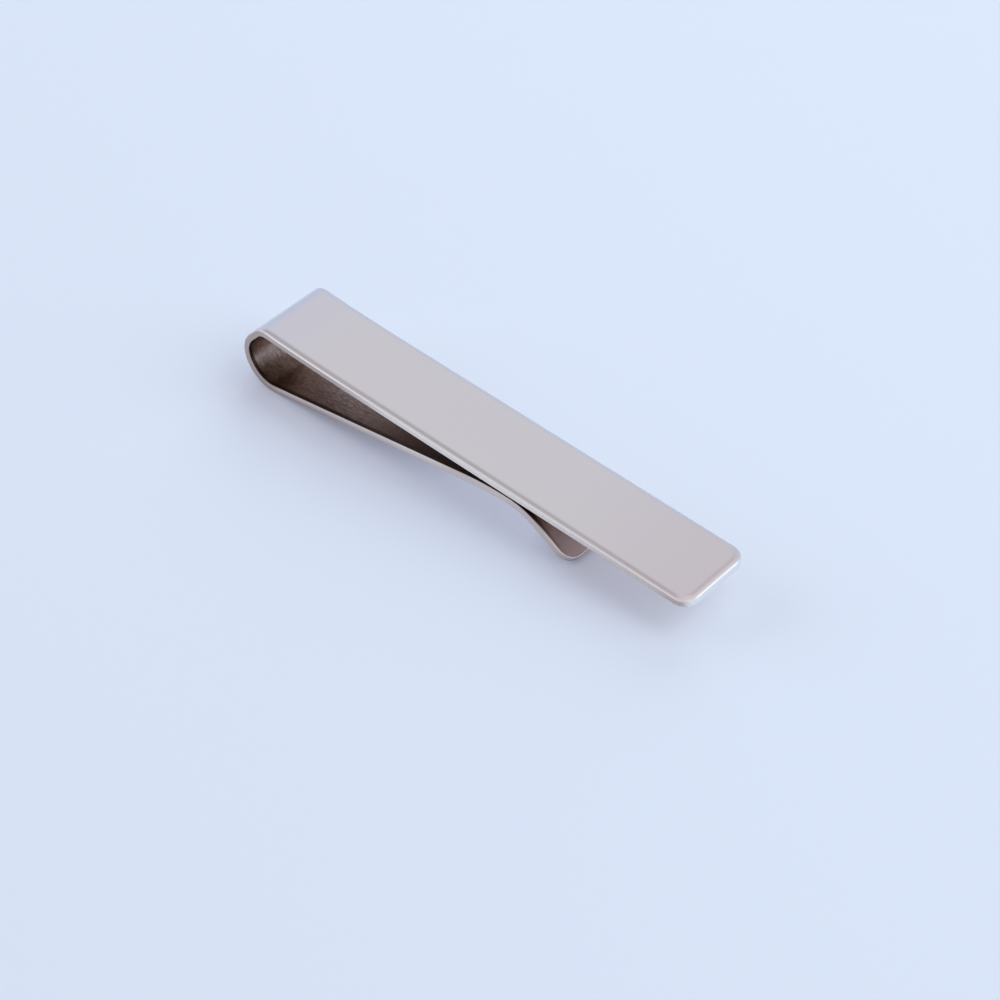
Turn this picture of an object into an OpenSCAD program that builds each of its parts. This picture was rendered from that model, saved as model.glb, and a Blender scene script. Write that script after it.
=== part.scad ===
// Tie clip of one springy metal strip, bent over into a flat front bar and a rear arm.
// The strip is drawn in seven lengths that follow one another along its inner face.
// It lies as it does on a table: on the lower bend and on the tip of the entry lip.
// +X runs from the bend to the free end, Y across the strip, +Z up.

/* [Strip] */
// Width of the strip
strip_w = 8; // [5:0.5:12]
// Thickness of the strip
strip_t = 0.85; // [0.6:0.05:1.4]
// Soft rounding along the outer edges of the front bar and the bend
edge_r = 0.4; // [0.1:0.05:0.5]
// Light deburring along the outer edges of the arm, crest and lip
rear_edge_r = 0.12; // [0.05:0.01:0.3]
// Radius of the corners at both free ends, seen from above
corner_r = 1.5; // [0.8:0.1:2.4]

/* [Front bar] */
// Straight length of the front bar
bar_l = 38.5; // [20:0.2:50]
// Length of the slight upward bow between the bar and the bend
bow_l = 10; // [4:0.5:14]
// Radius of that bow
bow_r = 240; // [120:10:600]

/* [Bend] */
// Inner radius of the upper bend
upper_r = 1.15; // [0.6:0.05:1.8]
// Slope of the short flank below the upper bend
flank_a = 50; // [35:1:60]
// Length of that flank
flank_l = 1.25; // [0.4:0.05:2]
// Inner radius of the lower bend
lower_r = 2.4; // [2:0.05:3.4]

/* [Rear arm] */
// Distance from the start of the upper bend to the grip crest
grip_x = 29.1; // [20:0.1:34]
// Gap left between the crest and the front bar
crest_gap = 0.1; // [0.05:0.05:0.4]
// Radius of the crest's long side, towards the bend
lead_r = 27; // [8:1:40]
// Radius of the crest's short side, towards the lip
crest_r = 6.4; // [2.5:0.1:10]
// Slope of the entry lip away from the front bar
lip_a = 30; // [15:1:40]
// Length of the entry lip
lip_l = 4.4; // [3:0.1:7]

/* [Hidden] */
metal = "#c6c3c8";
$fn = 360;

// Unit direction, and a point of the XZ plane moved along one
function dir(a) = [cos(a), sin(a)];
function along(p, a, l) = p + l * dir(a);

// Places are first worked out with the bar level, from the point on its underside where the bow starts
bow_a = bow_l / bow_r * 180 / PI;
bow_end = along([0, bow_r], -90 - bow_a, bow_r);

// The upper bend turns the strip down into the flank, and the lower bend turns it back to the right
upper_center = along(bow_end, 90 - bow_a, -upper_r);
flank_start = along(upper_center, 90 + flank_a, upper_r);
flank_end = along(flank_start, 180 + flank_a, flank_l);
lower_center = along(flank_end, 90 + flank_a, -lower_r);
lower_outer_r = lower_r + strip_t;

// The arm runs straight from the lower bend to the crest, tangent to both
crest = [bow_end.x + grip_x, -crest_gap];
lead_center = along(crest, 90, -lead_r);
crest_center = along(crest, 90, -crest_r);
arm_span = lead_center - lower_center;
arm_a = atan2(arm_span.y, arm_span.x) + asin((lower_r + lead_r) / norm(arm_span));
arm_start = along(lower_center, 270 + arm_a, lower_r);
arm_end = along(lead_center, 90 + arm_a, lead_r);
lip_start = along(crest_center, 90 - lip_a, crest_r);

// The table touches the lower bend and the deburred edge of the lip's tip
tip_edge = along(along(lip_start, -lip_a, lip_l - rear_edge_r), -90 - lip_a, strip_t - rear_edge_r);
rest_span = tip_edge - lower_center;
rest_a = atan2(rest_span.y, rest_span.x) + asin((lower_outer_r - rear_edge_r) / norm(rest_span));
bar_edge = [bar_l - edge_r, strip_t - edge_r];

// A place turned with the strip onto the table
function turned(p) = [p * dir(rest_a), p * dir(rest_a + 90)];
rest_z = turned(lower_center).y - lower_outer_r;
left_x = turned(lower_center).x - lower_outer_r;
right_x = turned(bar_edge).x + edge_r;

// The spring is hinged where the lower bend reaches furthest out
hinge_a = 180 + rest_a;
hinge_start = along(lower_center, hinge_a, lower_r);

// Lays the strip on the table, centred along X
module on_table() {
    translate([-(left_x + right_x) / 2, 0, -rest_z])
        rotate([0, rest_a, 0])
            color(metal)
                children();
}

// Starts a length of the strip at p on the inner face, with its X along angle a.
// Each length is drawn along +X there, with the inner face on Z 0 and the metal below it.
module at(p, a) {
    translate([p.x, 0, p.y])
        rotate([0, -a, 0])
            children();
}

// Draws a length of the strip backwards, along -X
module backwards() {
    mirror([1, 0, 0])
        children();
}

// What a rounding of radius r takes off an edge, with the rounding's center on the origin
module edge_cut(r) {
    difference() {
        square(2 * r);
        circle(r);
    }
}

// Cross-section of the strip with its outer edges rounded to r: X outwards from the inner face, Y across
module section(r) {
    difference() {
        translate([0, -strip_w / 2])
            square([strip_t, strip_w]);
        for (side = [0, 1])
            mirror([0, side])
                translate([strip_t - r, strip_w / 2 - r])
                    edge_cut(r);
    }
}

// Side view of a free end with its outer edge rounded to r: X to the edge, Y outwards
module end_profile(r) {
    difference() {
        square([corner_r, strip_t]);
        translate([corner_r - r, strip_t - r])
            edge_cut(r);
    }
}

// A straight length
module straight(l, r) {
    rotate([90, 0, 90])
        linear_extrude(height = l)
            rotate(-90)
                section(r);
}

// A bend through angle a towards the inner face
module bend(inner_r, a, r) {
    translate([0, 0, inner_r])
        rotate([90, 0, 0])
            rotate([0, 0, -90])
                rotate_extrude(angle = a)
                    translate([inner_r, 0])
                        section(r);
}

// A bend through angle a towards the outer face
module back_bend(face_r, a, r) {
    backwards()
        translate([0, 0, -face_r])
            rotate([90, 0, 0])
                rotate([0, 0, 90])
                    rotate_extrude(angle = a)
                        translate([face_r, 0])
                            mirror([1, 0])
                                section(r);
}

// A free end with rounded corners
module free_end(r) {
    mirror([0, 0, 1]) {
        for (side = [0, 1])
            mirror([0, side, 0])
                translate([0, strip_w / 2 - corner_r, 0])
                    rotate_extrude(angle = 90)
                        end_profile(r);
        rotate([90, 0, 0])
            linear_extrude(height = strip_w - 2 * corner_r, center = true)
                end_profile(r);
    }
}

// A straight length that ends in a free end, l in all
module free_length(l, r) {
    straight(l - corner_r, r);
    translate([l - corner_r, 0, 0])
        free_end(r);
}

// Flat face that shows on the tie
module front_bar() {
    on_table()
        at([0, 0], 180)
            backwards()
                free_length(bar_l, edge_r);
}

// Slight upward bow that leads from the bar into the bend
module bar_bow() {
    on_table()
        at([0, 0], 180)
            back_bend(bow_r, bow_a, edge_r);
}

// Upper bend and flank, down to the outermost line of the spring
module upper_bend() {
    on_table()
        at(flank_start, 180 + flank_a) {
            backwards()
                bend(upper_r, bow_a + flank_a, edge_r);
            straight(flank_l, edge_r);
            translate([flank_l, 0, 0])
                bend(lower_r, hinge_a - 90 - flank_a, edge_r);
        }
}

// Lower part of the spring, which the clip lies on
module lower_bend() {
    on_table()
        at(hinge_start, hinge_a + 90)
            bend(lower_r, 270 + arm_a - hinge_a, edge_r);
}

// Straight arm that rises towards the front bar
module rear_arm() {
    on_table()
        at(arm_start, arm_a)
            straight(norm(arm_end - arm_start), rear_edge_r);
}

// Crest that presses the cloth against the front bar
module grip_crest() {
    on_table()
        at(crest, 0) {
            backwards()
                back_bend(lead_r, arm_a, rear_edge_r);
            back_bend(crest_r, lip_a, rear_edge_r);
        }
}

// Lip that spreads the gap as the clip slides onto the cloth
module entry_lip() {
    on_table()
        at(lip_start, -lip_a)
            free_length(lip_l, rear_edge_r);
}

front_bar();
bar_bow();
upper_bend();
lower_bend();
rear_arm();
grip_crest();
entry_lip();
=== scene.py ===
"""Tie clip of one satin metal strip, lying on a pale floor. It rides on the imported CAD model."""

import math

import bpy
import numpy as np
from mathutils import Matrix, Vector


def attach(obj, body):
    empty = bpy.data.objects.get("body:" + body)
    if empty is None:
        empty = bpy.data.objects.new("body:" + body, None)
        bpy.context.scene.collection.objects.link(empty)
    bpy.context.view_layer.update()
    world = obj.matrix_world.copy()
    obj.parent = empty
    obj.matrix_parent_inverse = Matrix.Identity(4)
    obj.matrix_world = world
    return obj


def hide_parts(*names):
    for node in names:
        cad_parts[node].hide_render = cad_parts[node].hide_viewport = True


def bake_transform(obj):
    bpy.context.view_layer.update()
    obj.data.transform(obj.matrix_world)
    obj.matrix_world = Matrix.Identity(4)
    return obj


MM = 0.001
# Lengths below this, in millimetres, count as nothing
TINY = 1e-6

# The strip's sizes, in millimetres and degrees, the same as the CAD model's
STRIP_W = 8.0
STRIP_T = 0.85
EDGE_R = 0.4
REAR_EDGE_R = 0.12
CORNER_R = 1.5
BAR_L = 38.5
BOW_L = 10.0
BOW_R = 240.0
UPPER_R = 1.15
FLANK_A = 50.0
FLANK_L = 1.25
LOWER_R = 2.4
GRIP_X = 29.1
CREST_GAP = 0.1
LEAD_R = 27.0
CREST_R = 6.4
LIP_A = 30.0
LIP_L = 4.4

# Camera, fitted to the photograph: place in millimetres, turn in degrees, lens for a 36 mm sensor
CAMERA_PLACE = (116.441, -121.296, 153.877)
CAMERA_TURN = (46.9874, 1.6617, 41.8738)
CAMERA_LENS = 93.578
SENSOR_W = 36.0
# Nearest and furthest that it sees, in metres
CAMERA_REACH = (0.01, 20.0)

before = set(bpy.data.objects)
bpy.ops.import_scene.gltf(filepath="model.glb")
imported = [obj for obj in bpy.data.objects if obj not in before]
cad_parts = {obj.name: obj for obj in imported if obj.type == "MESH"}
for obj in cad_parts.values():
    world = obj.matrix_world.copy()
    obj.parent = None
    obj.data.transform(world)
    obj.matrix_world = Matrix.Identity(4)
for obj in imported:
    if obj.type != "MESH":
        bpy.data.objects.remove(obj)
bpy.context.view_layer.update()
scene = bpy.context.scene
scene.view_settings.view_transform = "Standard"


def make_camera():
    data = bpy.data.cameras.new("camera")
    data.lens = CAMERA_LENS
    data.sensor_width = SENSOR_W
    data.clip_start, data.clip_end = CAMERA_REACH
    camera = bpy.data.objects.new("camera", data)
    camera.location = [c * MM for c in CAMERA_PLACE]
    camera.rotation_euler = [math.radians(a) for a in CAMERA_TURN]
    scene.collection.objects.link(camera)
    scene.camera = camera


make_camera()


# The strip's path, along its inner face from the bar's free end to the lip's tip

def heading(angle):
    """Unit direction at an angle in the side view."""
    a = math.radians(angle)
    return np.array([math.cos(a), math.sin(a)])


def tangent_arm(start_center, crest_x):
    """Slope and length of the straight arm between the lower bend and the crest's long side."""
    lead_center = np.array([crest_x, -CREST_GAP - LEAD_R])
    span = lead_center - start_center
    reach = np.linalg.norm(span)
    slope = math.degrees(math.atan2(span[1], span[0]) + math.asin((LOWER_R + LEAD_R) / reach))
    start = start_center - LOWER_R * heading(90 + slope)
    end = lead_center + LEAD_R * heading(90 + slope)
    return slope, float(np.linalg.norm(end - start))


class Path:
    """Lengths that follow one another: straights, and bends that turn counterclockwise where positive."""

    def __init__(self, start, angle):
        self.parts = []
        self.at = np.array(start, float)
        self.angle = angle
        self.length = 0.0

    def add(self, length, turn=0.0):
        """Adds a length that turns by so many degrees."""
        self.parts.append((self.length, length, self.at.copy(), self.angle, turn))
        self.at, self.angle = self.follow(self.at, self.angle, length, length, turn)
        self.length += length

    @staticmethod
    def follow(at, angle, done, length, turn):
        """Point and direction of travel where so much of a length is done."""
        now = angle + turn * done / length
        if turn == 0:
            return at + done * heading(angle), now
        radius = length / math.radians(abs(turn))
        side = 90 if turn > 0 else -90
        center = at + radius * heading(angle + side)
        return center - radius * heading(now + side), now

    def place(self, s):
        """Point on the inner face and direction of travel, at s from the start."""
        part = self.parts[0]
        for later in self.parts:
            if s >= later[0] - TINY:
                part = later
        s0, length, at, angle, turn = part
        return self.follow(at, angle, s - s0, length, turn)


def arc(radius, angle):
    return radius * math.radians(angle)


bow_a = math.degrees(BOW_L / BOW_R)
path = Path((BAR_L, 0.0), 180.0)
path.add(BAR_L)
path.add(BOW_L, -bow_a)
S_BOW_END = path.length
bow_end_x = path.at[0]
path.add(arc(UPPER_R, bow_a + FLANK_A), bow_a + FLANK_A)
path.add(FLANK_L)
S_LOWER = path.length
lower_center = path.at + LOWER_R * heading(path.angle + 90)
arm_a, arm_l = tangent_arm(lower_center, bow_end_x + GRIP_X)
lower_a = 180 + arm_a - FLANK_A
path.add(arc(LOWER_R, lower_a), lower_a)
S_ARM = path.length
path.add(arm_l)
path.add(arc(LEAD_R, arm_a), -arm_a)
path.add(arc(CREST_R, LIP_A), -LIP_A)
path.add(LIP_L)
S_END = path.length

# The clip lies on its lower bend and on the tip of its lip, centred along X
tip, tip_angle = path.place(S_END - REAR_EDGE_R)
tip = tip + (STRIP_T - REAR_EDGE_R) * heading(tip_angle - 90)
rest_span = tip - lower_center
rest_a = math.degrees(
    math.atan2(rest_span[1], rest_span[0])
    + math.asin((LOWER_R + STRIP_T - REAR_EDGE_R) / np.linalg.norm(rest_span))
)


def turned(p):
    """A point turned with the strip onto the table."""
    return np.array([p @ heading(rest_a), p @ heading(rest_a + 90)])


rest_z = turned(lower_center)[1] - LOWER_R - STRIP_T
left_x = turned(lower_center)[0] - LOWER_R - STRIP_T
right_x = turned(np.array([BAR_L - EDGE_R, STRIP_T - EDGE_R]))[0] + EDGE_R
SHIFT = np.array([-(left_x + right_x) / 2, -rest_z])


def on_table(s, y, h):
    """Metres, for a point at s along the strip, y across it and h out from its inner face."""
    at, angle = path.place(s)
    x, z = turned(at + h * heading(angle - 90)) + SHIFT
    return (x * MM, y * MM, z * MM)


# The strip's surface. All its lengths are in millimetres and its angles in degrees.

# Columns across each broad face, and steps round the outer edges, the inner edges and a corner
CROSS = 24
ARC_STEPS = 12
INNER_STEPS = 4
CORNER_STEPS = 14
# The rim's points are a margin, the outer edge, the inner edge from this one on, and another margin
FIRST_INNER = ARC_STEPS + 2
RIM_POINTS = FIRST_INNER + INNER_STEPS + 2
# Spacing along the strip: where it is straight, at most in a bend, and by how far a bend turns
STRAIGHT_STEP = 1.0
BEND_STEP = 0.6
TURN_STEP = 3.0

# Along a side the rounding starts with a small radius, and goes on with a large one from this angle up
SIDE_R = 0.22
TOP_R = 0.78
SIDE_ANGLE = 50.0
# How far the rounding reaches in from the bar's free end, and how far down the end
END_REACH = 0.8
END_DROP = 0.4
# Where the soft edges start to sharpen, after the start of the bend, and where they are sharp
FADE_START = -0.4
FADE_END = 1.6
# Flat margin inside an edge, which keeps the shading of the face flat
GUARD = 0.04
# Rounding of the inner edges, and round the lip's tip
INNER_R = 0.06
LIP_INNER_R = 0.12
# How far before the tip that softer rounding starts, and over what length
LIP_SOFT = (5.5, 3.0)
# How much thinner the strip is round the tight bend: by, and from, over, until and over along the strip
THIN = 0.17
THINNED = (S_BOW_END, 1.3, S_LOWER + 3.5, 2.5)

# Angles up between which the cut finish fades out on the rounding of a side and of a free end
CUT_FADE = (12.0, 34.0)
END_CUT_FADE = (42.0, 70.0)
# How far a corner has turned, of 1, where the end's finish starts and is full
END_TURN = (0.45, 0.95)
# Dullness of the cut sides, which is partly their own finish and partly painted shade: at the bar's free
# end, and its changes along the strip: from, over, by
END_DULL_AND_SHADE = 0.85
DULL_AND_SHADE_STEPS = (
    (0, 24, -0.5), (1, 3, -0.35), (32, 10, 0.83), (48, 2, 0.17), (53, 3, -0.12),
    (57.5, 2, 0.15), (60, 8, -0.25), (66, 12, -0.34), (84, 6, 0.15)
)
# Round the bend it changes by so much inside and outside, painted brighter inside and darker outside: by,
# and from, over, until and over
BEND_DULL_AND_SHADE = (-0.15, 0.3)
BEND_DULL_AND_SHADE_PLACES = (49.0, 2.0, 64.0, 4.0)
# The arm's sides carry a painted highlight beside the inner face, this high at the start and at the end
HIGHLIGHT_H = (0.25, 0.5)
ARM_HIGHLIGHT = (55.0, 4.0, 80.0, 4.0)
# The rounding's foot is painted darker and warmer between these angles, full at the middle one: painted
# shade that dims its reflection
FOOT_ANGLES = (8.0, 24.0, 48.0)
# The foot carries a painted highlight next to the bend
FOOT_HIGHLIGHT = (34.0, 8.0, S_BOW_END + 0.8, 1.2)

# What each vertex keeps for the material
SHARES = ("inside", "cut", "end_cut", "dull_and_shade", "foot", "painted_highlight")

# The strip is parted into three pieces this far outside the bend
CUT_OFF = 1.5
CUT_FRONT = BAR_L + BOW_L - CUT_OFF
CUT_REAR = S_ARM + CUT_OFF


def smooth(x):
    x = min(1.0, max(0.0, x))
    return x * x * (3 - 2 * x)


def between(s, start, grows, end, fades):
    """1 between start and end. It grows over a length after the one and fades over one before the other."""
    return smooth((s - start) / grows) * smooth((end - s) / fades)


def part_way(a, b, share):
    return a + (b - a) * share


def side_rounding(angle):
    """How far in and up the rounding along a side has come, where it faces so far up."""
    first = math.radians(min(angle, SIDE_ANGLE))
    turn = math.radians(max(angle, SIDE_ANGLE))
    knee = math.radians(SIDE_ANGLE)
    return (SIDE_R * (1 - math.cos(first)) + TOP_R * (math.cos(knee) - math.cos(turn)),
            SIDE_R * math.sin(first) + TOP_R * (math.sin(turn) - math.sin(knee)))


def end_rounding(angle):
    """The same for the rounding at the bar's free end, a quarter of an ellipse."""
    a = math.radians(angle)
    size = math.hypot(END_REACH * math.cos(a), END_DROP * math.sin(a))
    return (END_REACH * (1 - END_REACH * math.cos(a) / size), END_DROP * END_DROP * math.sin(a) / size)


def outer_edge(s, along, angle):
    """Inset and height of the outer rounding, where it faces so far up. It is soft on the bar,
    longer at the bar's free end, and nearly sharp from the bend on."""
    sharp = smooth((s - (S_BOW_END + FADE_START)) / (FADE_END - FADE_START))
    side, side_all = side_rounding(angle), side_rounding(90)
    end, end_all = end_rounding(angle), end_rounding(90)
    inset = part_way(side[0], end[0], abs(along))
    below = part_way(side_all[1] - side[1], end_all[1] - end[1], abs(along))
    a = math.radians(angle)
    inset = part_way(inset, REAR_EDGE_R * (1 - math.cos(a)), sharp)
    below = part_way(below, REAR_EDGE_R * (1 - math.sin(a)), sharp)
    return inset, STRIP_T - below


def facing(point):
    """How far up the outer edge faces at a point of the rim."""
    return 90 * (1 - (point - 1) / ARC_STEPS)


def lip_share(s):
    """How far the inner edge has passed into the softer rounding of the lip's tip."""
    return smooth((s - S_END + LIP_SOFT[0]) / LIP_SOFT[1])


def rim(s, along):
    """Section of the edge as (inset, height), from the outer face to the inner face."""
    low = THIN * between(s, *THINNED)
    r = part_way(INNER_R, LIP_INNER_R, lip_share(s))
    outer = [outer_edge(s, along, facing(point)) for point in range(1, FIRST_INNER)]
    inner = []
    for i in range(INNER_STEPS + 1):
        b = math.radians(90 * i / INNER_STEPS)
        inner.append((r * (1 - math.cos(b)), low + r * (1 - math.sin(b))))
    return [(outer[0][0] + GUARD, STRIP_T)] + outer + inner + [(r + GUARD, low)]


def stations(start, end):
    """Places along the strip: close together in the bends, wider apart where it is straight."""
    found = [start]
    s = start
    while s < end - TINY:
        step = STRAIGHT_STEP
        for s0, length, _, _, turn in path.parts:
            if s0 - TINY <= s < s0 + length - TINY:
                left = s0 + length - s
                if turn:
                    step = min(BEND_STEP, length / abs(turn) * TURN_STEP)
                step = left / max(1, round(left / step))
        s = min(end, s + step)
        found.append(s)
    return found


def corner(end, outwards, angle):
    """Sample of the rounded corner at a free end, which lies outwards along s, facing so far sideways."""
    b = math.radians(angle)
    return (end - outwards * CORNER_R * (1 - math.cos(b)), STRIP_W / 2 - CORNER_R * (1 - math.sin(b)),
            outwards * math.cos(b), math.sin(b))


def rows(start, end):
    """Samples of one side's outline: (s, y, normal along s, normal along y)."""
    first, last = start <= 0, end >= S_END - TINY
    turns = [90 * i / CORNER_STEPS for i in range(CORNER_STEPS)]
    low = CORNER_R if first else start
    high = S_END - CORNER_R if last else end
    out = [corner(0.0, -1, angle) for angle in turns] if first else []
    out += [(s, STRIP_W / 2, 0.0, 1.0) for s in stations(low, high)]
    if last:
        out += [corner(S_END, 1, angle) for angle in reversed(turns)]
    return out


class Shape:
    """A length of the strip as a closed shape. Where it is cut, its end is flat and has hard edges."""

    def __init__(self, start, end):
        self.side = rows(start, end)
        self.verts, self.places, self.faces, self.hard = [], [], [], set()
        # Vertices of the rim by row, side and point, and across a free end by row, column and point
        self.ring, self.ends = {}, {}
        self.add_rim()
        self.outer = self.add_broad_face(0)
        self.inner = self.add_broad_face(RIM_POINTS - 1)
        self.add_sides()
        for j in (0, len(self.side) - 1):
            if (j, 1, 0) in self.ends:
                self.add_free_end(j)
            else:
                self.add_cut(j)

    def add(self, s, y, h):
        self.verts.append(on_table(s, y, h))
        self.places.append((s, y, h))
        return len(self.verts) - 1

    def add_rim(self):
        for j, (s, y, ns, ny) in enumerate(self.side):
            for k, (d, h) in enumerate(rim(s, ns)):
                for sign in (1, -1):
                    self.ring[j, sign, k] = self.add(s - d * ns, sign * (y - d * ny), h)
        for j in (0, len(self.side) - 1):
            s, y, ns, _ = self.side[j]
            if ns != 0:
                for i in range(1, CROSS):
                    for k, (d, h) in enumerate(rim(s, ns)):
                        self.ends[j, i, k] = self.add(s - d * ns, y * (1 - 2 * i / CROSS), h)

    def rim_vertex(self, j, i, k):
        """Vertex of the rim at a row and column."""
        if i == 0:
            return self.ring[j, 1, k]
        if i == CROSS:
            return self.ring[j, -1, k]
        return self.ends[j, i, k]

    def add_broad_face(self, k):
        """Adds the face inside a point of the rim: the outer face at the first, the inner at the last."""
        grid = []
        for j, (s, y, ns, ny) in enumerate(self.side):
            d, h = rim(s, ns)[k]
            line = []
            for i in range(CROSS + 1):
                if i in (0, CROSS) or (j, i, k) in self.ends:
                    line.append(self.rim_vertex(j, i, k))
                else:
                    line.append(self.add(s - d * ns, (y - d * ny) * (1 - 2 * i / CROSS), h))
            grid.append(line)
        for here, after in zip(grid, grid[1:]):
            for i in range(CROSS):
                quad = [here[i], here[i + 1], after[i + 1], after[i]]
                self.faces.append(quad[::-1] if k == 0 else quad)
        return grid

    def add_sides(self):
        ring = self.ring
        for j in range(len(self.side) - 1):
            for k in range(RIM_POINTS - 1):
                for sign in (1, -1):
                    quad = [ring[j, sign, k], ring[j + 1, sign, k],
                            ring[j + 1, sign, k + 1], ring[j, sign, k + 1]]
                    self.faces.append(quad[::-1] if sign == 1 else quad)

    def add_free_end(self, j):
        for i in range(CROSS):
            for k in range(RIM_POINTS - 1):
                quad = [self.rim_vertex(j, i, k), self.rim_vertex(j, i, k + 1),
                        self.rim_vertex(j, i + 1, k + 1), self.rim_vertex(j, i + 1, k)]
                self.faces.append(quad[::-1] if j == 0 else quad)

    def add_cut(self, j):
        """Closes an end where the strip goes on in the next piece."""
        around = list(self.outer[j]) + [self.ring[j, -1, k] for k in range(1, RIM_POINTS - 1)]
        around += self.inner[j][::-1] + [self.ring[j, 1, k] for k in range(RIM_POINTS - 2, 0, -1)]
        self.faces.append(around[::-1] if j else around)
        self.hard |= {frozenset(e) for e in zip(around, around[1:] + around[:1])}


def cut_share(point, fade):
    """Share of the cut finish at a point of the rim: all of it on the plain side and the inner edge."""
    if point >= FIRST_INNER:
        return 1.0
    full, none = fade
    return 1 - smooth((facing(point) - full) / (none - full))


def dullness_and_shade(s, h):
    """Dullness of the cut sides, partly their own finish and partly painted shade. Round the bend they are
    painted brighter inside and darker outside.
    """
    change = between(s, *BEND_DULL_AND_SHADE_PLACES) * part_way(*BEND_DULL_AND_SHADE, h / STRIP_T)
    return END_DULL_AND_SHADE + sum(by * smooth((s - start) / over) for start, over, by in DULL_AND_SHADE_STEPS) + change


def foot_share(point, along):
    """Share of the painted shade along the foot of the bar's rounding."""
    start, full, end = FOOT_ANGLES
    return between(facing(point), start, full - start, end, end - full) * (1 - abs(along))


def highlight_share(s, h, foot):
    """Share of the painted highlight, beside the arm's inner face and along the foot next to the bend."""
    start, _, end, _ = ARM_HIGHLIGHT
    high = part_way(*HIGHLIGHT_H, smooth((s - start) / (end - start)))
    return max(between(s, *ARM_HIGHLIGHT) * smooth(1 - h / high), foot * between(s, *FOOT_HIGHLIGHT))


def finish_and_light_shares(shape):
    """Share of each finish, painted highlight and painted shade at each vertex."""
    shares = {name: np.zeros(len(shape.verts), np.float32) for name in SHARES}
    shares["inside"][[v for line in shape.inner for v in line]] = 1.0
    shares["dull_and_shade"][:] = [dullness_and_shade(s, h) for s, _, h in shape.places]
    for (j, _, k), v in shape.ring.items():
        s, _, h = shape.places[v]
        along = smooth((abs(shape.side[j][2]) - END_TURN[0]) / (END_TURN[1] - END_TURN[0]))
        shares["cut"][v] = cut_share(k, CUT_FADE) * (1 - along)
        shares["end_cut"][v] = cut_share(k, END_CUT_FADE) * along
        shares["foot"][v] = foot_share(k, along)
        shares["painted_highlight"][v] = highlight_share(s, h, shares["foot"][v])
        if FIRST_INNER < k < RIM_POINTS - 1:
            shares["inside"][v] = 1 - lip_share(s)
    for (_, _, k), v in shape.ends.items():
        shares["end_cut"][v] = cut_share(k, END_CUT_FADE)
    return shares


def strip_piece(name, start, end):
    """A length of the strip as an object, whose vertices keep their place on the strip and their finish."""
    shape = Shape(start, end)
    mesh = bpy.data.meshes.new(name)
    mesh.from_pydata(shape.verts, [], shape.faces)
    mesh.validate()
    mesh.update()
    mesh.shade_smooth()
    for edge in mesh.edges:
        if frozenset(edge.vertices) in shape.hard:
            edge.use_edge_sharp = True
    for key, values in finish_and_light_shares(shape).items():
        mesh.attributes.new(key, "FLOAT", "POINT").data.foreach_set("value", values)
    place = mesh.attributes.new("strip", "FLOAT_VECTOR", "POINT")
    place.data.foreach_set("vector", np.array(shape.places, np.float32).ravel())
    piece = bpy.data.objects.new(name, mesh)
    scene.collection.objects.link(piece)
    return piece


strip_front = strip_piece("strip_front", 0.0, CUT_FRONT)
strip_bend = strip_piece("strip_bend", CUT_FRONT, CUT_REAR)
strip_rear = strip_piece("strip_rear", CUT_REAR, S_END)


# Materials. Their places are in millimetres along the strip, unless they say otherwise.

# Outer faces: the colour of most of them, and those at the bar's free end and next to the bend, whose bluish
# tint is a painted reflection
SATIN = (0.79, 0.74, 0.73, 1)
SATIN_END = (0.78, 0.705, 0.70, 1)
SATIN_BEND_REFLECTION = (0.765, 0.729, 0.768, 1)
# Places between which the end's colour passes into that of most, and that into the painted reflection next
# to the bend
END_TINT = (1.0, 17.0)
BEND_REFLECTION_TINT = (42.0, 49.0)
# Cut sides, bright and dull, partly their own finish and partly painted light and shade, the painted shade
# on the foot of their rounding, and their painted highlight
BRIGHT_CUT = (0.97, 0.88, 0.80, 1)
DULL_SHADED_CUT = (0.50, 0.40, 0.35, 1)
SHADED_FOOT = (0.77, 0.70, 0.66, 1)
HIGHLIGHT_COLOR = (0.99, 0.91, 0.83, 1)
# Cut end of the bar, nearly white as a painted highlight, and that of the lip, with a painted highlight
# towards its inner face and painted shade towards its outer
END_CUT = (0.93, 0.94, 0.92, 1)
TIP_HIGHLIGHT = (0.90, 0.80, 0.78, 1)
TIP_SHADE = (0.36, 0.29, 0.30, 1)
# Heights between which the lip's cut end turns from its painted highlight to its painted shade, and places
# from which it has its colours
TIP_SHADE_HEIGHTS = (0.35, 0.6)
TIP_START = (S_END - 8, S_END - 6)
# Inner face: most of it, its tarnish, the painted shade along its edges and beside the narrow gap, and its
# tip, painted lighter
INNER_FACE = (0.44, 0.335, 0.29, 1)
INNER_DARK = (0.20, 0.13, 0.095, 1)
INNER_RIM_SHADE = (0.10, 0.06, 0.05, 1)
INNER_GAP_SHADE = (0.15, 0.10, 0.08, 1)
INNER_TIP_LIT = (0.95, 0.86, 0.86, 1)
# Distances from the strip's middle between which the painted shade along its edges begins
INNER_EDGE_SHADE = (STRIP_W / 2 - 0.5, STRIP_W / 2 - 0.25)
# Places between which its mottling begins, its painted shade beside the gap begins and ends, and its painted
# lighter tip begins
AGED = (40.0, 48.0)
GAP_SHADE_START = (65.0, 76.0)
GAP_SHADE_END = (84.0, 91.0)
LIT_TIP = (87.0, 93.4)
# Its mottling, streaks and fine dents: scales in 1/mm along and across the strip, and detail of the noise
MOTTLE = ((1.6, 1.6, 1.0), 5.0)
STREAKS = ((0.35, 4.0, 1.0), 3.0)
DENTS = ((2.5, 3.5, 1.0), 4.0)
# Values of the noise between which the mottling and the streaks come up, and how dark they make it
MOTTLE_RANGE = (0.38, 0.68)
MOTTLE_SHARE = 0.35
STREAKS_RANGE = (0.55, 0.70)
STREAKS_SHARE = 0.3
# Depth of the dents
DENT = 0.03
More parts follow.
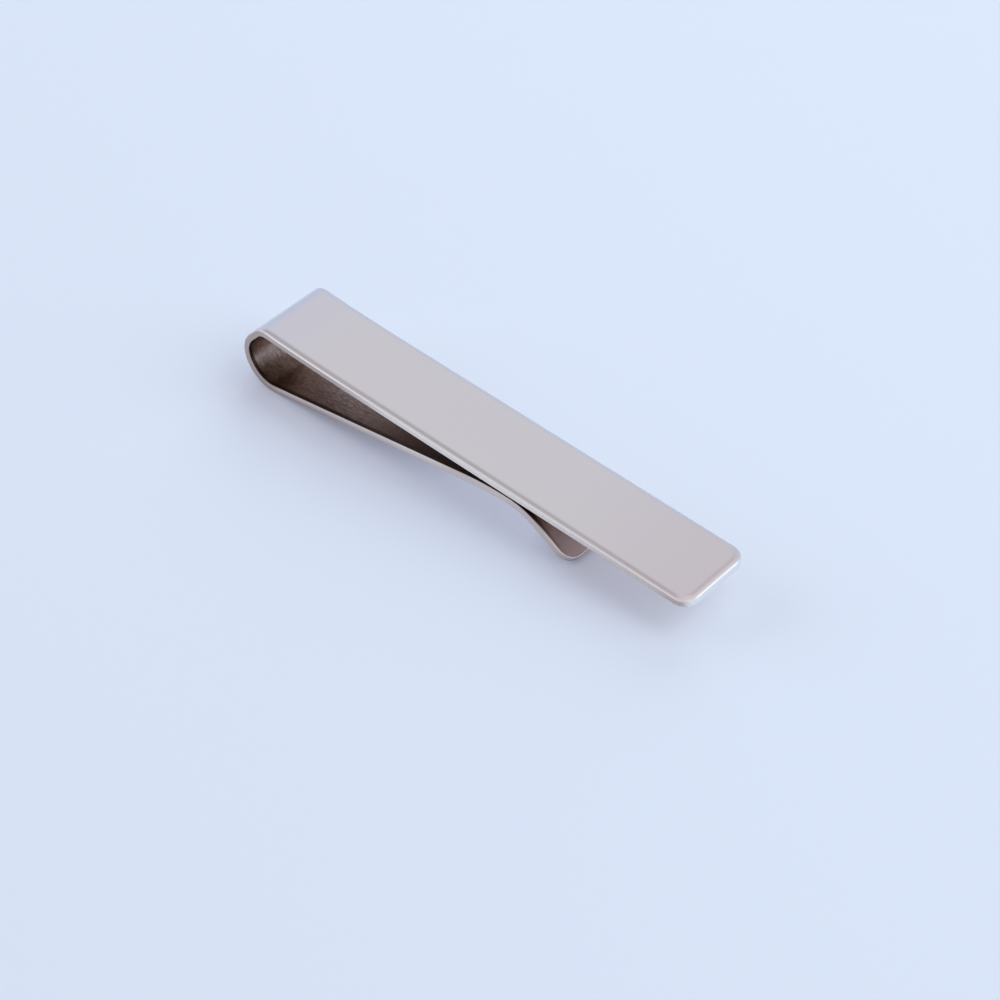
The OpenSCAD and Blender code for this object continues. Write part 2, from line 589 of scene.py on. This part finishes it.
# Its painted shade low in the loop: place along and across the strip, half its length and width, the shares
# of these between which it fades, and how dark it is
BOTTOM_SHADE_PLACE = (56.8, 3.3)
BOTTOM_SHADE_SIZE = (2.6, 2.2)
BOTTOM_SHADE_FADE = (0.3, 1.3)
BOTTOM_SHADE_SHARE = 0.8
# Roughness of the outer faces, the cut sides and the inner face
OUTER_ROUGH = 0.23
CUT_ROUGH = 0.3
INNER_ROUGH = 0.3

# Floor: its matt colour, and the share and colour of its own light, in the open and close to the clip
FLOOR_COLOR = (0.575, 0.715, 0.85, 1)
GLOW_SHARE = 0.35
GLOW = (0.92, 0.90, 1.10, 1)
GLOW_CONTACT = (0.33, 0.30, 0.34, 1)
# Reach of the deep shadow round what stands on it, and how open a point is, of 1, where that ends
CONTACT = 3.0
CONTACT_OPEN = 0.8
# Its far, even colour, and the distances in metres between which it passes into that
FLOOR_EVEN = (0.69, 0.775, 0.925, 1)
FLOOR_FADE = (0.12, 0.4)
# Half its size, in metres
FLOOR_REACH = 4.0


class Tree:
    """Nodes of a material or a world. A node takes sockets, which are linked to it, and plain values."""

    def __init__(self, owner, output):
        owner.use_nodes = True
        self.nodes = owner.node_tree.nodes
        self.links = owner.node_tree.links
        self.nodes.clear()
        self.surface = self.add(output).inputs["Surface"]

    def add(self, kind, **settings):
        node = self.nodes.new("ShaderNode" + kind)
        for name, value in settings.items():
            setattr(node, name, value)
        return node

    def give(self, socket, value):
        if isinstance(value, bpy.types.NodeSocket):
            self.links.new(value, socket)
        else:
            socket.default_value = value

    def math(self, operation, a, b=0.0):
        node = self.add("Math", operation=operation)
        self.give(node.inputs[0], a)
        self.give(node.inputs[1], b)
        return node.outputs["Value"]

    def vector(self, operation, a, b=(0.0, 0.0, 0.0)):
        node = self.add("VectorMath", operation=operation)
        self.give(node.inputs[0], a)
        self.give(node.inputs["Scale" if operation == "SCALE" else 1], b)
        return node.outputs["Value" if operation in ("DOT_PRODUCT", "LENGTH") else "Vector"]

    def mix(self, share, a, b, kind="RGBA"):
        """A share of b in a: colours, or numbers where the kind is FLOAT."""
        node = self.add("Mix", data_type=kind)
        self.give(node.inputs["Factor"], share)
        self.give(node.inputs["A"], a)
        self.give(node.inputs["B"], b)
        return node.outputs["Result"]

    def mix_shader(self, share, a, b):
        node = self.add("MixShader")
        for socket, value in zip(node.inputs, (share, a, b)):
            self.give(socket, value)
        return node.outputs["Shader"]

    def ramp(self, value, low, high, kind="SMOOTHSTEP"):
        """0 up to the low value, and 1 from the high one on."""
        node = self.add("MapRange", interpolation_type=kind)
        self.give(node.inputs["From Min"], low)
        self.give(node.inputs["From Max"], high)
        self.give(node.inputs["Value"], value)
        return node.outputs["Result"]

    def noise(self, place, scale, detail):
        node = self.add("TexNoise")
        self.give(node.inputs["Scale"], 1.0)
        self.give(node.inputs["Detail"], detail)
        self.give(node.inputs["Vector"], self.vector("MULTIPLY", place, scale))
        return node.outputs["Fac"]


def new_material(name):
    material = bpy.data.materials.new(name)
    return material, Tree(material, "OutputMaterial")


def outer_color(tree, share, s, h):
    """Colour of the outer faces, of the cut sides and of the cut ends, with painted highlights, a painted
    reflection and painted shade.
    """
    satin = tree.mix(tree.ramp(s, *END_TINT), SATIN_END, SATIN)
    # The bluish tint next to the bend is a painted reflection
    satin = tree.mix(tree.ramp(s, *BEND_REFLECTION_TINT), satin, SATIN_BEND_REFLECTION)
    # The cut sides' brightness is partly their finish and partly painted shade
    color = tree.mix(share["cut"], satin, tree.mix(share["dull_and_shade"], BRIGHT_CUT, DULL_SHADED_CUT))
    # The lip's cut end: a painted highlight towards the inner face, painted shade towards the outer
    tip_highlight_and_shade = tree.mix(tree.ramp(h, *TIP_SHADE_HEIGHTS), TIP_HIGHLIGHT, TIP_SHADE)
    end_color = tree.mix(tree.ramp(s, *TIP_START), END_CUT, tip_highlight_and_shade)
    color = tree.mix(share["end_cut"], color, end_color)
    # Painted shade on the foot of the rounding
    color = tree.mix(share["foot"], color, SHADED_FOOT)
    # Painted highlight on the arm's sides and on the foot next to the bend
    return tree.mix(share["painted_highlight"], color, HIGHLIGHT_COLOR)


def tarnish_and_shade(tree, strip, s, across, aged):
    """How dark the inner face is: mottled all over, and darkest, with painted shade, where the lower bend
    starts.
    """
    mottle = tree.ramp(tree.noise(strip, *MOTTLE), *MOTTLE_RANGE)
    streaks = tree.ramp(tree.noise(strip, *STREAKS), *STREAKS_RANGE)
    # Painted shade where the lower bend starts
    ds = tree.math("DIVIDE", tree.math("SUBTRACT", s, BOTTOM_SHADE_PLACE[0]), BOTTOM_SHADE_SIZE[0])
    dy = tree.math("DIVIDE", tree.math("SUBTRACT", across, BOTTOM_SHADE_PLACE[1]), BOTTOM_SHADE_SIZE[1])
    off = tree.math("SQRT", tree.math("ADD", tree.math("MULTIPLY", ds, ds), tree.math("MULTIPLY", dy, dy)))
    bottom_shade = tree.math("MULTIPLY", tree.math("SUBTRACT", 1.0, tree.ramp(off, *BOTTOM_SHADE_FADE)), BOTTOM_SHADE_SHARE)
    mottle = tree.math("MULTIPLY", mottle, MOTTLE_SHARE)
    streaks = tree.math("MULTIPLY", streaks, STREAKS_SHARE)
    dark = tree.math("MULTIPLY", tree.math("ADD", mottle, streaks), aged)
    return tree.math("MINIMUM", tree.math("ADD", bottom_shade, dark), 1.0)


def inner_color(tree, strip, s, across, lit_tip, aged):
    """Colour of the inner face, which was left as rolled and bent, with painted shade along its edges and
    beside the gap, and painted light towards the lip's tip.
    """
    # Painted shade along the inner face's edges
    edge = tree.math("MULTIPLY", tree.ramp(across, *INNER_EDGE_SHADE), tree.math("SUBTRACT", 1.0, lit_tip))
    gap_shade = tree.math("SUBTRACT", tree.ramp(s, *GAP_SHADE_START), tree.ramp(s, *GAP_SHADE_END))
    # Painted light on the inner face towards the lip's tip, where it lies open
    plain = tree.mix(lit_tip, INNER_FACE, INNER_TIP_LIT)
    color = tree.mix(tarnish_and_shade(tree, strip, s, across, aged), plain, INNER_DARK)
    color = tree.mix(edge, color, INNER_RIM_SHADE)
    # Painted shade beside the narrow gap
    return tree.mix(gap_shade, color, INNER_GAP_SHADE)


def metal_material():
    """Satin outside, with painted highlights, reflection and shade, and a finish along the cut sides that is
    partly painted shade; darker, browner and duller inside, with painted shade and a painted lighter tip.
    """
    material, tree = new_material("satin_metal")
    shader = tree.add("BsdfPrincipled")
    tree.give(tree.surface, shader.outputs["BSDF"])
    shader.inputs["Metallic"].default_value = 1.0
    strip = tree.add("Attribute", attribute_name="strip").outputs["Vector"]
    place = tree.add("SeparateXYZ")
    tree.give(place.inputs["Vector"], strip)
    s, y, h = place.outputs
    across = tree.math("ABSOLUTE", y)
    share = {name: tree.add("Attribute", attribute_name=name).outputs["Fac"] for name in SHARES}
    lit_tip = tree.ramp(s, *LIT_TIP)
    aged = tree.math("MULTIPLY", tree.ramp(s, *AGED), tree.math("SUBTRACT", 1.0, lit_tip))

    outside = outer_color(tree, share, s, h)
    within = inner_color(tree, strip, s, across, lit_tip, aged)
    tree.give(shader.inputs["Base Color"], tree.mix(share["inside"], outside, within))
    rough = tree.mix(share["cut"], OUTER_ROUGH, CUT_ROUGH, "FLOAT")
    rough = tree.mix(share["inside"], rough, INNER_ROUGH, "FLOAT")
    tree.give(shader.inputs["Roughness"], rough)
    dents = tree.add("Bump")
    dents.inputs["Distance"].default_value = DENT * MM
    dented = tree.math("MULTIPLY", share["inside"], aged)
    tree.give(dents.inputs["Height"], tree.math("MULTIPLY", tree.noise(strip, *DENTS), dented))
    tree.give(shader.inputs["Normal"], dents.outputs["Normal"])
    return material


def near_floor(tree, seen):
    """Matt floor. What is seen of it is part its own light, so that its shadow stays light, but not close
    to the clip, where the shadow is deep."""
    matt = tree.add("BsdfDiffuse")
    matt.inputs["Color"].default_value = FLOOR_COLOR
    around = tree.add("AmbientOcclusion")
    around.inputs["Distance"].default_value = CONTACT * MM
    in_open = tree.ramp(around.outputs["AO"], 0.0, CONTACT_OPEN, "LINEAR")
    glow = tree.add("Emission")
    tree.give(glow.inputs["Color"], tree.mix(in_open, GLOW_CONTACT, GLOW))
    share = tree.math("MULTIPLY", seen, GLOW_SHARE)
    return tree.mix_shader(share, matt.outputs["BSDF"], glow.outputs["Emission"])


def floor_material():
    """Pale floor, which passes into one even colour far from the clip."""
    material, tree = new_material("floor")
    rays = tree.add("LightPath")
    seen = tree.math("MAXIMUM", rays.outputs["Is Camera Ray"], rays.outputs["Is Glossy Ray"])
    even = tree.add("Emission")
    even.inputs["Color"].default_value = FLOOR_EVEN
    distance = tree.vector("LENGTH", tree.add("TexCoord").outputs["Object"])
    far = tree.math("MULTIPLY", tree.ramp(distance, *FLOOR_FADE), seen)
    tree.give(tree.surface, tree.mix_shader(far, near_floor(tree, seen), even.outputs["Emission"]))
    return material


metal = metal_material()
for piece in (strip_front, strip_bend, strip_rear):
    piece.data.materials.append(metal)


# Floor, world and lamps

# Colour of the room low down, where the pale backdrop stands, and higher up
LOW_COLOR = (0.77, 0.87, 1.07, 1)
SKY_COLOR = (0.945, 0.97, 1.035, 1)
# One passes into the other between these values of the direction's product with this vector,
# so that the backdrop's colour shows low down at the back
BACKDROP = (0.0, -0.5, 1.0)
HORIZON = (0.0, 0.55)
ROOM_LEVEL = 0.81
# Direction, narrowness and colour of what each brighter or dimmer part of the room adds
SKY_LOBES = (
    ((0.62, 0.57, 0.54), 40, (0.62, 0.63, 0.65)),
    ((-0.5, -0.2, 0.84), 11, (-0.33, -0.35, -0.36)),
    ((-0.5, -0.84, 0.2), 12, (0.22, 0.22, 0.22)),
    ((-0.12, 0.57, 0.81), 60, (-0.18, -0.23, -0.23)),
)
# A part's product with a direction counts as no less than this, where it adds next to nothing
LOBE_END = 0.5

# Soft lamps a metre away, for the floor and its shadow: name, azimuth, elevation, size and power
LAMPS = (
    ("right_window", 25, 38, 1.0, 7.8),
    ("left_window", 200, 20, 0.9, 5.8),
    ("back_window", 115, 20, 1.0, 7.4),
    ("ceiling", 60, 65, 0.8, 3.0),
)


def make_floor():
    mesh = bpy.data.meshes.new("floor")
    r = FLOOR_REACH
    mesh.from_pydata([(-r, -r, 0), (r, -r, 0), (r, r, 0), (-r, r, 0)], [], [(0, 1, 2, 3)])
    mesh.materials.append(floor_material())
    floor = bpy.data.objects.new("floor", mesh)
    scene.collection.objects.link(floor)


def make_world():
    """A pale room, with the backdrop's colour low down and with brighter and dimmer parts. It shows in
    the gloss and behind the floor, and the lamps light what is matt."""
    world = bpy.data.worlds.new("world")
    scene.world = world
    tree = Tree(world, "OutputWorld")
    background = tree.add("Background")
    tree.give(tree.surface, background.outputs["Background"])
    direction = tree.add("TexCoord").outputs["Generated"]
    rise = tree.ramp(tree.vector("DOT_PRODUCT", direction, BACKDROP), *HORIZON)
    room = tree.mix(rise, LOW_COLOR, SKY_COLOR)
    total = tree.vector("MULTIPLY", room, (ROOM_LEVEL, ROOM_LEVEL, ROOM_LEVEL))
    for center, width, added in SKY_LOBES:
        unit = tuple(c / math.hypot(*center) for c in center)
        near = tree.math("MAXIMUM", tree.vector("DOT_PRODUCT", direction, unit), LOBE_END)
        lobe = tree.vector("SCALE", added, tree.math("POWER", near, width))
        total = tree.vector("ADD", total, lobe)
    tree.give(background.inputs["Color"], tree.vector("MAXIMUM", total))
    world.cycles_visibility.diffuse = False


def make_lamp(name, azimuth, elevation, size, power):
    """A soft lamp that faces the clip and doesn't show in its gloss."""
    a, e = math.radians(azimuth), math.radians(elevation)
    place = Vector((math.cos(e) * math.cos(a), math.cos(e) * math.sin(a), math.sin(e)))
    data = bpy.data.lights.new(name, "AREA")
    data.shape = "DISK"
    data.size = size
    data.energy = power
    lamp = bpy.data.objects.new(name, data)
    lamp.location = place
    lamp.rotation_euler = (-place).to_track_quat("-Z", "Y").to_euler()
    lamp.visible_glossy = False
    scene.collection.objects.link(lamp)


make_floor()
make_world()
for lamp in LAMPS:
    make_lamp(*lamp)


# Bodies

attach(strip_front, "front")
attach(strip_rear, "rear")
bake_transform(strip_bend)
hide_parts("front_bar", "bar_bow")
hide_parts("upper_bend", "lower_bend")
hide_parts("rear_arm", "grip_crest", "entry_lip")
